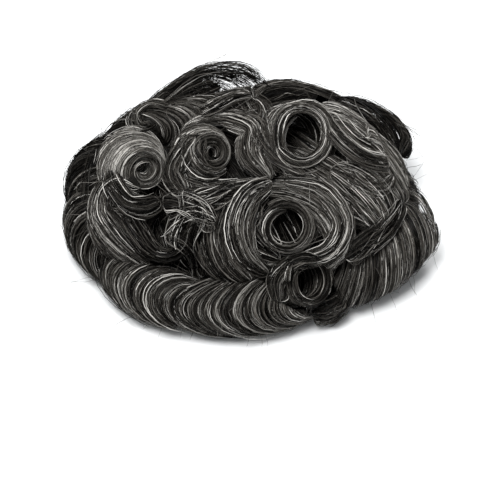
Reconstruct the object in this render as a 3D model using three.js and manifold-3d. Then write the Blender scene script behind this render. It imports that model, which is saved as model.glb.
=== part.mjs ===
// A toupee hairpiece: a thin domed base, a layer of hair on it, and the locks set in curls.
// Millimetres. +X runs along the long side, +Z is up, the rim of the base lies on Z = 0.
import * as THREE from "three";
import { mergeVertices } from "three/addons/utils/BufferGeometryUtils.js";
import Module from "manifold-3d";

const wasm = await Module();
wasm.setup();

const BASE_LENGTH = 186;
const BASE_WIDTH = 138;
const BASE_RISE = 62;
const BASE_WALL = 1.5;
const HAIR_DEPTH = 9; // the layer of hair at the rim of the base
const HAIR_CROWN = 15; // the layer of hair on its top
const ROD_RADIUS = 16; // the rods the curls are wound on
const GAP = 0.3; // between pieces that touch

const DOME_CUT = 0.97; // the dome is an ellipsoid cut off a little above its middle
const DOME_RINGS = 7;
const DOME_SIDES = 30;
const TURN_STEPS = 14; // steps in one full turn of a curl
const SEAM = 0.045; // room between two windings, a share of the curl's radius
const CURL_STEPS = 1; // steps along the axis of a curl
const ROLL_STEPS = 3; // steps along the axis of a roll at the rim
const SWEEP_STEPS = 10; // steps along a lock that lies on the dome
const EDGE = 0.94; // where a sheet's faces end and its edge begins, a share of its half width
const TIP = 0.35; // thickness left at the two ends of a lock
const TIP_LENGTH = 0.1; // share of a lock's length over which it thins

// A lock's section: s across it and n through it, each from -1 to 1.
const SWEEP_SECTION = [[-1, 0], [-0.55, 0.85], [0.55, 0.85], [1, 0], [0.55, -0.85], [-0.55, -0.85]];

const BASE_COLOR = 0x8a7663;
const HAIR_COLOR = 0x2b2826;
const CURL_COLOR = 0x4a4642;

// Curls on a straight axis, from its foot to its mouth. Both points are shares of the
// hair layer's half length, half width and height. Radii are in rods, start and turn in
// degrees round the axis, sheet and sink are shares of the radius.
const CURLS = [
  {
    name: "curl_crown_right", foot: [0.19, 0.26, 0.8], mouth: [0.36, -0.03, 1.1],
    footRadius: 1.25, mouthRadius: 1.45, sheet: 0.17, sink: 0, start: 60, turn: -420,
  },
  {
    name: "curl_front_center", foot: [0.22, -0.58, 0.62], mouth: [0.22, -0.81, 0.86],
    footRadius: 1.4, mouthRadius: 0.96, sheet: 0.2, sink: 0.15, start: 40, turn: -400,
  },
  {
    name: "curl_crown_left", foot: [-0.77, -0.05, 0.84], mouth: [-0.67, -0.31, 1],
    footRadius: 1.45, mouthRadius: 0.85, sheet: 0.3, sink: 0.1, start: 150, turn: -470,
  },
  {
    name: "curl_crown_center", foot: [-0.3, -0.12, 1], mouth: [-0.235, -0.27, 1.19],
    footRadius: 1.3, mouthRadius: 0.7, sheet: 0.3, sink: 0.1, start: 200, turn: -450,
  },
  {
    name: "curl_front_left", foot: [-0.5, -0.56, 0.52], mouth: [-0.54, -0.79, 0.78],
    footRadius: 1.1, mouthRadius: 1.3, sheet: 0.25, sink: 0.1, start: -70, turn: 400,
  },
  {
    name: "curl_front_low", foot: [0.19, -0.9, 0.28], mouth: [0.38, -1.13, 0.57],
    footRadius: 1.05, mouthRadius: 1.05, sheet: 0.2, sink: 0, start: 60, turn: -400,
  },
  {
    name: "roll_back_left", foot: [0.02, 0.45, 1.02], mouth: [-0.74, 0.24, 0.92],
    footRadius: 0.85, mouthRadius: 0.85, sheet: 0.26, sink: 0, start: -150, turn: 400,
  },
];

// Rolls round the rim: from and to in degrees round the dome, radii at both ends and in
// the middle, the axis outside the hair layer and above the table, all in rods.
const RIM_ROLLS = [
  {
    name: "roll_rim_front_right", from: 299, to: 341, radii: [0.85, 1.2, 1.3],
    outward: [0.4, 0.7], height: [1, 1.55], sheet: 0.25, start: -80, turn: 400,
  },
  {
    name: "roll_rim_front", from: 248, to: 289, radii: [0.9, 1.15, 0.9],
    outward: [1, 0.45], height: [1.1, 1], sheet: 0.26, start: -70, turn: 400,
  },
  {
    name: "roll_rim_left_front", from: 180, to: 220, radii: [0.95, 1.25, 0.95],
    outward: [0.45, 0.6], height: [1.25, 1.15], sheet: 0.26, start: -70, turn: 400,
  },
  {
    name: "roll_rim_front_left", from: 214, to: 254, radii: [0.85, 1.25, 0.9],
    outward: [0.65, 1.05], height: [1.15, 1.1], sheet: 0.26, start: -70, turn: 400,
  },
  {
    name: "roll_rim_left", from: 146, to: 186, radii: [0.9, 1.35, 0.9],
    outward: [0.45, 0.4], height: [1.35, 1.25], sheet: 0.26, start: -70, turn: 400,
  },
  {
    name: "roll_rim_back_left", from: 110, to: 152, radii: [0.9, 1.35, 0.9],
    outward: [0.35, 0.4], height: [1.25, 1.35], sheet: 0.26, start: -70, turn: 400,
  },
  {
    name: "roll_rim_back", from: 74, to: 116, radii: [0.85, 1.2, 0.85],
    outward: [0.35, 0.45], height: [1.1, 1.2], sheet: 0.26, start: -70, turn: 400,
  },
  {
    name: "roll_rim_back_right", from: 40, to: 80, radii: [0.8, 1.1, 0.85],
    outward: [0.15, 0.35], height: [1, 1.05], sheet: 0.26, start: -70, turn: 400,
  },
  {
    name: "roll_rim_right", from: -18, to: 46, radii: [0.7, 0.9, 0.8],
    outward: [-0.05, 0.1], height: [0.85, 0.9], sheet: 0.27, start: -70, turn: 400,
  },
];

// Locks that lie along the dome: stations as shares of the hair layer's half length, half
// width and height, then the width at each station and the thickness in rods.
const SWEEPS = [
  {
    name: "wave_right_shoulder", thick: 1,
    path: [[0.48, 0.54, 0.92], [0.65, 0.37, 0.92], [0.82, 0.11, 0.82], [0.91, -0.15, 0.68], [0.95, -0.3, 0.52]],
    width: [1.8, 2.8, 2.9, 2.4, 1.3],
  },
  {
    name: "fold_right_shoulder", thick: 0.4,
    path: [[0.66, 0.64, 0.9], [0.86, 0.61, 0.78], [0.99, 0.5, 0.7], [1.04, 0.36, 0.63], [1, 0.22, 0.62]],
    width: [1.2, 1.4, 1.2, 0.9, 0.6],
  },
  {
    name: "wave_back_top", thick: 1.5,
    path: [[0, 0.52, 0.96], [0.2, 0.64, 0.94], [0.44, 0.62, 0.88], [0.64, 0.52, 0.82]],
    width: [1.3, 1.8, 1.8, 1.2],
  },
  {
    name: "tuft_back", thick: 0.8,
    path: [[-0.76, 0.42, 0.8], [-0.55, 0.6, 0.98], [-0.3, 0.74, 1.13], [0, 0.8, 1.16], [0.17, 0.74, 1.04]],
    width: [1.0, 1.4, 1.4, 1.1, 0.5],
  },
  {
    name: "wave_crown", thick: 0.6,
    path: [[-0.45, 0.12, 1.05], [-0.17, 0.2, 1.11], [0.03, 0.03, 1.13], [0.01, -0.22, 1.09], [0.13, -0.42, 1.02]],
    width: [0.7, 1.4, 1.5, 1.3, 0.7],
  },
  {
    name: "wave_center", thick: 0.5,
    path: [[-0.56, -0.18, 0.9], [-0.45, -0.42, 0.92], [-0.25, -0.54, 0.94], [0.02, -0.48, 0.97], [0.18, -0.34, 0.98]],
    width: [0.7, 1.3, 1.3, 1.0, 0.5],
  },
  {
    name: "wave_front_center", thick: 0.5,
    path: [[0, -0.5, 0.97], [0.26, -0.5, 0.98], [0.5, -0.64, 0.87], [0.56, -0.84, 0.7], [0.46, -1.0, 0.56]],
    width: [0.7, 1.2, 1.4, 1.2, 0.6],
  },
  {
    name: "wave_front", thick: 0.6,
    path: [[-0.1, -0.5, 0.93], [-0.14, -0.66, 0.87], [-0.17, -0.8, 0.77], [-0.14, -0.96, 0.62], [0, -1.06, 0.46]],
    width: [1.2, 2.2, 2.4, 2, 1],
  },
  {
    name: "wave_right", thick: 0.6,
    path: [[0.17, -0.14, 1.05], [0.4, -0.3, 0.97], [0.66, -0.46, 0.81], [0.88, -0.58, 0.6]],
    width: [1.2, 2.2, 2.2, 1],
  },
  {
    name: "hook_left", thick: 0.5,
    path: [
      [-0.7, -0.44, 0.94], [-0.82, -0.36, 0.96], [-0.93, -0.38, 0.84], [-0.96, -0.52, 0.72],
      [-0.89, -0.68, 0.66], [-0.77, -0.82, 0.58], [-0.61, -0.94, 0.5],
    ],
    width: [0.6, 0.9, 1.1, 1.5, 1.9, 1.7, 1],
  },
  {
    name: "wave_back_left", thick: 0.6,
    path: [[-0.3, 0.5, 0.88], [-0.46, 0.7, 0.72], [-0.56, 0.86, 0.5], [-0.5, 0.98, 0.34]],
    width: [1.8, 3, 3.2, 2.4],
  },
  {
    name: "wave_back_center", thick: 0.6,
    path: [[0.14, 0.66, 0.8], [0, 0.86, 0.66], [-0.1, 1.0, 0.46], [-0.02, 1.06, 0.34]],
    width: [1.8, 3.2, 3.2, 2.4],
  },
  {
    name: "wave_back_right", thick: 0.6,
    path: [[0.66, 0.54, 0.7], [0.62, 0.7, 0.56], [0.56, 0.86, 0.4], [0.6, 0.88, 0.28]],
    width: [1.8, 3, 3, 2.4],
  },
];

const { lerp, degToRad, clamp } = THREE.MathUtils;
const HAIR_HALF = domeHalf(HAIR_DEPTH, HAIR_CROWN);

// Half length, half width and height of a dome that lies off the base by the given depths.
function domeHalf(depth, crown) {
  return new THREE.Vector3(BASE_LENGTH / 2 + depth, BASE_WIDTH / 2 + depth, BASE_RISE + crown);
}

// The dome's profile from its top to its rim: share of the half sizes, then of the height.
function domeProfile() {
  const low = Math.sqrt(1 - DOME_CUT ** 2);
  const points = [];
  for (let i = 0; i <= DOME_RINGS; i++) {
    const reach = Math.sin((Math.PI / 2) * (i / DOME_RINGS));
    const rise = (Math.sqrt(1 - (DOME_CUT * reach) ** 2) - low) / (1 - low);
    points.push([reach, rise]);
  }
  return points;
}

function domeRing(size, [reach, rise]) {
  const ring = [];
  for (let k = 0; k < DOME_SIDES; k++) {
    const angle = (2 * Math.PI * k) / DOME_SIDES;
    ring.push(new THREE.Vector3(reach * Math.cos(angle), reach * Math.sin(angle), rise).multiply(size));
  }
  return ring;
}

// A closed surface through rings of equal point count, a fan at each end. The fans meet
// at the given tips, or in the middle of the first and the last ring.
function loft(rings, firstTip = middle(rings[0]), lastTip = middle(rings.at(-1))) {
  const sides = rings[0].length;
  const last = (rings.length - 1) * sides;
  const first = rings.length * sides;
  const faces = [];
  for (let k = 0; k < sides; k++) {
    const next = (k + 1) % sides;
    faces.push(first, next, k, first + 1, last + k, last + next);
    for (let i = 0; i < last; i += sides) {
      faces.push(i + k, i + next, i + next + sides);
      faces.push(i + k, i + next + sides, i + k + sides);
    }
  }
  const geometry = new THREE.BufferGeometry().setFromPoints([...rings.flat(), firstTip, lastTip]);
  geometry.setIndex(faces);
  return toSolid(geometry);
}

function middle(ring) {
  return ring.reduce((sum, p) => sum.add(p), new THREE.Vector3()).divideScalar(ring.length);
}

// The surface as a solid, its faces turned outward if they face inward.
function toSolid(geometry) {
  const index = geometry.index.array;
  const [a, b, c] = [new THREE.Vector3(), new THREE.Vector3(), new THREE.Vector3()];
  let volume = 0;
  for (let i = 0; i < index.length; i += 3) {
    [a, b, c].forEach((corner, k) => corner.fromBufferAttribute(geometry.attributes.position, index[i + k]));
    volume += a.dot(b.cross(c));
  }
  if (volume < 0) index.reverse();
  return new wasm.Manifold(new wasm.Mesh({
    numProp: 3,
    vertProperties: geometry.attributes.position.array,
    triVerts: Uint32Array.from(index),
  }));
}

// A dome-shaped wall between two sizes, open below, with a flat rim on Z = 0.
function domeWall(outer, inner) {
  const profile = domeProfile().slice(1);
  const outside = profile.map((p) => domeRing(outer, p));
  const inside = profile.map((p) => domeRing(inner, p)).reverse();
  const top = new THREE.Vector3(0, 0, outer.z);
  return loft([...outside, ...inside], top, new THREE.Vector3(0, 0, inner.z));
}

// The room a dome takes, continued below the table.
function domeRoom(size) {
  const rings = domeProfile().slice(1).map((p) => domeRing(size, p));
  const below = rings.at(-1).map((p) => new THREE.Vector3(p.x, p.y, -size.z));
  return loft([...rings, below], new THREE.Vector3(0, 0, size.z));
}

// The curl's axis at s from -1 to 1: point, direction along it, up and sideways, radius.
function curlAxis(curl, s) {
  const h = (s + 1) / 2;
  const foot = new THREE.Vector3(...curl.foot).multiply(HAIR_HALF);
  const mouth = new THREE.Vector3(...curl.mouth).multiply(HAIR_HALF);
  const along = mouth.clone().sub(foot).normalize();
  const radius = lerp(curl.footRadius, curl.mouthRadius, h) * ROD_RADIUS;
  return axisFrame(foot.lerp(mouth, h), along, radius);
}

function rimAxis(roll, s) {
  const h = (s + 1) / 2;
  const angle = degToRad(lerp(roll.from, roll.to, h));
  const outward = lerp(...roll.outward, h) * ROD_RADIUS;
  const x = HAIR_HALF.x + outward;
  const y = HAIR_HALF.y + outward;
  const z = lerp(...roll.height, h) * ROD_RADIUS;
  const point = new THREE.Vector3(x * Math.cos(angle), y * Math.sin(angle), z);
  const along = new THREE.Vector3(-x * Math.sin(angle), y * Math.cos(angle), 0).normalize();
  const end = h < 0.5 ? roll.radii[0] : roll.radii[2];
  const radius = lerp(end, roll.radii[1], Math.sin(Math.PI * h)) * ROD_RADIUS;
  return axisFrame(point, along, radius);
}

function axisFrame(point, along, radius) {
  const up = new THREE.Vector3(0, 0, 1).addScaledVector(along, -along.z).normalize();
  return { point, along, up, side: new THREE.Vector3().crossVectors(along, up), radius };
}

function onScroll(frame, angle, distance) {
  return frame.point.clone()
    .addScaledVector(frame.up, Math.cos(angle) * distance)
    .addScaledVector(frame.side, Math.sin(angle) * distance);
}

// How far the innermost winding lies behind the outermost one.
const sink = (lock, frame) => (lock.sink ?? 0) * frame.radius;

// Thickness along a lock, thinner at its two ends.
const taper = (t) => Math.min(1, TIP + ((1 - TIP) * Math.min(t, 1 - t)) / TIP_LENGTH);

// The outline of a sheet's section.
function sheetSection(widthSteps) {
  const across = [];
  for (let i = 0; i <= widthSteps; i++) across.push(lerp(-EDGE, EDGE, i / widthSteps));
  const over = across.map((s) => [s, 1]);
  const under = across.map((s) => [s, -1]).reverse();
  return [[-1, 0], ...over, [1, 0], ...under];
}

// A sheet of hair wound into a scroll round its axis.
function scroll(lock, axis, widthSteps) {
  const turns = Math.abs(lock.turn) / 360;
  const steps = Math.round(TURN_STEPS * turns);
  const section = sheetSection(widthSteps);
  const rings = [];
  for (let i = 0; i <= steps; i++) {
    const t = i / steps;
    const angle = degToRad(lock.start + lock.turn * t);
    rings.push(section.map(([s, n]) => {
      const frame = axis(lock, s);
      const wound = 1 - (lock.sheet + SEAM) * turns * t;
      const distance = frame.radius * (wound + (n * taper(t) * lock.sheet) / 2);
      return onScroll(frame, angle, distance).addScaledVector(frame.along, -sink(lock, frame) * t);
    }));
  }
  return loft(rings);
}

// The room a scroll takes, hole and all, with the gap round it.
function scrollRoom(lock, axis, widthSteps) {
  const rings = [];
  for (let i = 0; i <= widthSteps; i++) {
    const s = lerp(-1, 1, i / widthSteps);
    const frame = axis(lock, s);
    const beyond = i === 0 ? -GAP - sink(lock, frame) : i === widthSteps ? GAP : 0;
    const reach = (frame.radius * (1 + lock.sheet / 2) + GAP) / Math.cos(Math.PI / TURN_STEPS);
    const ring = [];
    for (let k = 0; k < TURN_STEPS; k++) {
      ring.push(onScroll(frame, (2 * Math.PI * k) / TURN_STEPS, reach).addScaledVector(frame.along, beyond));
    }
    rings.push(ring);
  }
  return loft(rings);
}

// A lens-shaped lock along its stations, grown all round by the given amount.
function sweep(lock, grown) {
  const path = new THREE.CatmullRomCurve3(lock.path.map((p) => new THREE.Vector3(...p).multiply(HAIR_HALF)));
  const rings = [];
  for (let i = 0; i <= SWEEP_STEPS; i++) {
    const t = i / SWEEP_STEPS;
    const along = path.getTangent(t);
    const beyond = i === 0 ? -grown : i === SWEEP_STEPS ? grown : 0;
    const point = path.getPoint(t).addScaledVector(along, beyond);
    const outward = point.clone().divide(HAIR_HALF).divide(HAIR_HALF).normalize();
    const across = new THREE.Vector3().crossVectors(along, outward).normalize();
    const over = new THREE.Vector3().crossVectors(across, along);
    const wide = (stationValue(lock.width, t) * ROD_RADIUS) / 2 + grown;
    const thick = (lock.thick * ROD_RADIUS * taper(t)) / 2 + grown;
    rings.push(SWEEP_SECTION.map(([s, n]) => {
      return point.clone().addScaledVector(across, s * wide).addScaledVector(over, n * thick);
    }));
  }
  return loft(rings);
}

function stationValue(values, t) {
  const place = t * (values.length - 1);
  const i = clamp(Math.floor(place), 0, values.length - 2);
  return lerp(values[i], values[i + 1], place - i);
}

function largest(body) {
  return body.decompose().reduce((best, part) => (part.volume() > best.volume() ? part : best));
}

function toMesh(body, name, color) {
  const mesh = body.getMesh();
  let geometry = new THREE.BufferGeometry();
  geometry.setAttribute("position", new THREE.BufferAttribute(mesh.vertProperties, mesh.numProp));
  geometry.setIndex(new THREE.BufferAttribute(mesh.triVerts, 1));
  geometry = mergeVertices(geometry, 1e-5);
  geometry.computeVertexNormals();
  const shown = new THREE.Mesh(geometry, new THREE.MeshStandardMaterial({ color, roughness: 0.8 }));
  shown.name = name;
  return shown;
}

function build() {
  const hairpiece = new THREE.Group();
  hairpiece.name = "toupee_hairpiece";
  const base = domeWall(domeHalf(0, 0), domeHalf(-BASE_WALL, -BASE_WALL));
  const bed = domeWall(HAIR_HALF, domeHalf(GAP, GAP));
  hairpiece.add(toMesh(base, "base_cap", BASE_COLOR), toMesh(bed, "hair_bed", HAIR_COLOR));

  // Each lock leaves free the room of those before it, and ends at the table.
  let taken = domeRoom(domeHalf(HAIR_DEPTH + GAP, HAIR_CROWN + GAP));
  const addLock = (lock, body, room) => {
    const free = largest(body.subtract(taken).trimByPlane([0, 0, 1], 0));
    hairpiece.add(toMesh(free, lock.name, CURL_COLOR));
    taken = taken.add(room);
  };
  for (const curl of CURLS) {
    addLock(curl, scroll(curl, curlAxis, CURL_STEPS), scrollRoom(curl, curlAxis, CURL_STEPS));
  }
  for (const roll of RIM_ROLLS) {
    addLock(roll, scroll(roll, rimAxis, ROLL_STEPS), scrollRoom(roll, rimAxis, ROLL_STEPS));
  }
  for (const lock of SWEEPS) addLock(lock, sweep(lock, 0), sweep(lock, GAP));

  // The origin is the middle of the footprint.
  const center = new THREE.Box3().setFromObject(hairpiece).getCenter(new THREE.Vector3());
  hairpiece.position.set(-center.x, -center.y, 0);
  return hairpiece;
}

export default build();
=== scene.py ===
"""The toupee hairpiece's looks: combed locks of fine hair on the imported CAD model.

The tables are in millimetres, rods and shares of the hair layer, as in the CAD. Each lock is a
smooth dark body with hundreds of strands laid on it, wound or swept in the same way. Places on a
lock are s across it, from -1 to 1, and t along it, from 0 to 1.
"""

import math

import bpy
import numpy as np
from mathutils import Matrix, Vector


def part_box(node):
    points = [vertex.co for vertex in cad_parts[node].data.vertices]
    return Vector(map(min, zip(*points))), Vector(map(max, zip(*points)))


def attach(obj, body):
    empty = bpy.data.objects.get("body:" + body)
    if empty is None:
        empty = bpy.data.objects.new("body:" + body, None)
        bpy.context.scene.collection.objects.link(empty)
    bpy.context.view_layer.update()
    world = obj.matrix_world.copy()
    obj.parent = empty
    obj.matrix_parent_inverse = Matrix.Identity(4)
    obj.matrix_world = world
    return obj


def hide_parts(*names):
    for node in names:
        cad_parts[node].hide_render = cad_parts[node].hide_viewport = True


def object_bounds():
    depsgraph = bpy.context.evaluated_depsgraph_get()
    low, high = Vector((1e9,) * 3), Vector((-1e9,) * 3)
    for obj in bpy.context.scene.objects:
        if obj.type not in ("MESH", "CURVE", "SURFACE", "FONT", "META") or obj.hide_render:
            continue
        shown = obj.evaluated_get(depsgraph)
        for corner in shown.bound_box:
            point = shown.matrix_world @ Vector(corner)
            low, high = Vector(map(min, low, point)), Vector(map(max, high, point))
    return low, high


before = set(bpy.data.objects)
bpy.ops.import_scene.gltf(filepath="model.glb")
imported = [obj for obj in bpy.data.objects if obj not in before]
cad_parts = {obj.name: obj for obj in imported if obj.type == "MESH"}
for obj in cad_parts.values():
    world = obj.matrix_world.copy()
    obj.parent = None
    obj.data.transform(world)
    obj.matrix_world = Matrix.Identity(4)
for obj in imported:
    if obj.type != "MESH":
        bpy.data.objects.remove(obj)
cad_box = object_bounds()

MM = 0.001
BASE = np.array([186 / 2, 138 / 2, 62])
BASE_WALL = 1.5
HAIR_DEPTH, HAIR_CROWN = 9, 15
HALF = BASE + [HAIR_DEPTH, HAIR_DEPTH, HAIR_CROWN]
ROD = 16
GAP = 0.3
SEAM = 0.045
DOME_CUT = 0.97
LOW = math.sqrt(1 - DOME_CUT**2)
STRAND = 0.16  # half the width of a strand, mm
STEPS = 40  # points of a strand before it is cut down to those that its bends need
POINTS = (4, 6, 8, 10, 13, 16)  # numbers of points that a strand may have
BEND = 0.38  # the most that a strand turns between two of its points
SMOOTHING = 9  # rounds that take the corners off a swept strand
CLUMP = 5  # strands in a clump of combed hair
COMBED_TIMES, LOOSE_TIMES = 2, 0.7  # combed and loose strands for each that a lock's row states
BUNCH_TIMES = 1.2  # combed strands for each that a bunch's row states
BED_STRANDS, FLYAWAYS = 3600, 600
FALL = np.array([0.1, -0.6, -0.8])  # the way that the tuft's strands fall
BRIGHT = 0.85  # the tone of strands that are drawn wider
# Grey strands are grey hairs and also the painted glints of the glossy hair.
GREY_AND_GLINT_TONES = (0.9, 1.2)  # tones of grey strands
BAND_LENGTHS = (3.1, 4.7, 7.3, 12)  # mm between the fine locks that hair falls into
BODY_SINK, STRAND_SINK = 3, 0.8  # how far bodies and strands may go into the dome, mm
# Shares of the strands on a scroll's outer face, inner face and edges.
FACE_SHARES = {"rim": [0.8, 0.09, 0.11], "nest": [0.48, 0.18, 0.34], "curl": [0.53, 0.22, 0.25]}
HAIR_COLORS = [
    (0.0, (0.001, 0.0009, 0.0008)),
    (0.25, (0.006, 0.0054, 0.0046)),
    (0.5, (0.033, 0.0302, 0.0262)),
    (0.75, (0.127, 0.118, 0.105)),
    (0.9, (0.29, 0.28, 0.26)),
    (1.0, (0.62, 0.6, 0.565)),
]
STREAKS = 0.4  # how much the noise along the strands changes their tone
LACE_COLORS = [(0.11, 0.075, 0.05, 1), (0.42, 0.3, 0.2, 1)]
# Name, place in m, watts and size in m.
LAMPS = [("key", (-0.2, -0.3, 1.05), 13, 0.45), ("fill", (0.2, 0.5, 1.0), 6.5, 0.8)]
CAMERA_RISE = 50  # degrees above the floor, as in the photograph
CAMERA_AIM, CAMERA_DISTANCE, CAMERA_LENS = (0.0011, -0.0127, -0.0128), 1.015, 104.4
rng = np.random.default_rng(11)

# In the tables, strands is the number of strands, the grey share is the share of grey strands, which are
# grey hairs and painted glints, and light is how light they are. neat below 1 keeps them closer together.

# Curls on a straight axis. gather: how fast the strands draw in to the mouth. eye: how far their
# edges wind on, in lengths of the sheet.
CURLS = [
    dict(
        name="curl_crown_right", foot=[0.19, 0.26, 0.8], mouth=[0.36, -0.03, 1.1],
        radii=[1.25, 1.45], sheet=0.17, start=60, turn=-420,
        strands=620, gather=0.9, grey_and_glint=0.2, light=0.29,
    ),
    dict(
        name="curl_front_center", foot=[0.22, -0.58, 0.62], mouth=[0.22, -0.81, 0.86],
        radii=[1.4, 0.96], sheet=0.2, sink=0.15, start=40, turn=-400,
        strands=480, gather=1.2, grey_and_glint=0.2, light=0.12,
    ),
    dict(
        name="curl_crown_left", foot=[-0.77, -0.05, 0.84], mouth=[-0.67, -0.31, 1],
        radii=[1.45, 0.85], sheet=0.3, sink=0.1, start=150, turn=-470,
        strands=760, gather=1.3, grey_and_glint=0.4, light=0.33, eye=1.6,
    ),
    dict(
        name="curl_crown_center", foot=[-0.3, -0.12, 1], mouth=[-0.235, -0.27, 1.19],
        radii=[1.3, 0.7], sheet=0.3, sink=0.1, start=200, turn=-450,
        strands=560, gather=1.3, grey_and_glint=0.14, light=0.2, eye=1.6,
    ),
    dict(
        name="curl_front_left", foot=[-0.5, -0.56, 0.52], mouth=[-0.54, -0.79, 0.78],
        radii=[1.1, 1.3], sheet=0.25, sink=0.1, start=-70, turn=400,
        strands=420, gather=0.8, grey_and_glint=0.1, light=-0.12,
    ),
    dict(
        name="curl_front_low", foot=[0.19, -0.9, 0.28], mouth=[0.38, -1.13, 0.57],
        radii=[1.05, 1.05], sheet=0.2, start=60, turn=-400,
        strands=440, gather=0.8, grey_and_glint=0.2, light=0.05,
    ),
    dict(
        name="roll_back_left", foot=[0.02, 0.45, 1.02], mouth=[-0.74, 0.24, 0.92],
        radii=[0.85, 0.85], sheet=0.26, start=-150, turn=400,
        strands=620, bow=-0.55, peak=2.2, grey_and_glint=0.3, light=0.08,
    ),
]

# Rolls round the rim. lean and bow: how far strands run along the roll as they wind. peak: how
# soon the bow turns back.
RIM_ROLLS = [
    dict(
        name="roll_rim_front_right", span=[299, 341], radii=[0.85, 1.2, 1.3],
        outward=[0.4, 0.7], height=[1, 1.55], sheet=0.25, start=-80, turn=400,
        strands=860, lean=-0.2, bow=-1, peak=1.1, grey_and_glint=0.12, light=-0.01,
    ),
    dict(
        name="roll_rim_front", span=[248, 289], radii=[0.9, 1.15, 0.9],
        outward=[1, 0.45], height=[1.1, 1], sheet=0.26, start=-70, turn=400,
        strands=860, lean=0.1, bow=-1.05, grey_and_glint=0.16, light=0,
    ),
    dict(
        name="roll_rim_left_front", span=[180, 220], radii=[0.95, 1.25, 0.95],
        outward=[0.45, 0.6], height=[1.25, 1.15], sheet=0.26, start=-70, turn=400,
        strands=760, lean=1.2, bow=-0.5, grey_and_glint=0.12, light=-0.2,
    ),
    dict(
        name="roll_rim_front_left", span=[214, 254], radii=[0.85, 1.25, 0.9],
        outward=[0.65, 1.05], height=[1.15, 1.1], sheet=0.26, start=-70, turn=400,
        strands=860, lean=0.2, bow=-1, grey_and_glint=0.16, light=0,
    ),
    dict(
        name="roll_rim_left", span=[146, 186], radii=[0.9, 1.35, 0.9],
        outward=[0.45, 0.4], height=[1.35, 1.25], sheet=0.26, start=-70, turn=400,
        strands=640, lean=2.4, grey_and_glint=0.1, light=-0.3,
    ),
    dict(
        name="roll_rim_back_left", span=[110, 152], radii=[0.9, 1.35, 0.9],
        outward=[0.35, 0.4], height=[1.25, 1.35], sheet=0.26, start=-70, turn=400,
        strands=520, lean=1.8, grey_and_glint=0.1, light=-0.1,
    ),
    dict(
        name="roll_rim_back", span=[74, 116], radii=[0.85, 1.2, 0.85],
        outward=[0.35, 0.45], height=[1.1, 1.2], sheet=0.26, start=-70, turn=400,
        strands=520, lean=0.3, bow=-0.3, grey_and_glint=0.08, light=0,
    ),
    dict(
        name="roll_rim_back_right", span=[40, 80], radii=[0.8, 1.1, 0.85],
        outward=[0.15, 0.35], height=[1, 1.05], sheet=0.26, start=-70, turn=400,
        strands=520, lean=0.3, bow=-0.3, grey_and_glint=0.08, light=0,
    ),
    dict(
        name="roll_rim_right", span=[-18, 46], radii=[0.7, 0.9, 0.8],
        outward=[-0.05, 0.1], height=[0.85, 0.9], sheet=0.27, start=-70, turn=400,
        strands=620, lean=0.2, bow=-0.2, grey_and_glint=0.08, light=0,
    ),
]

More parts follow.
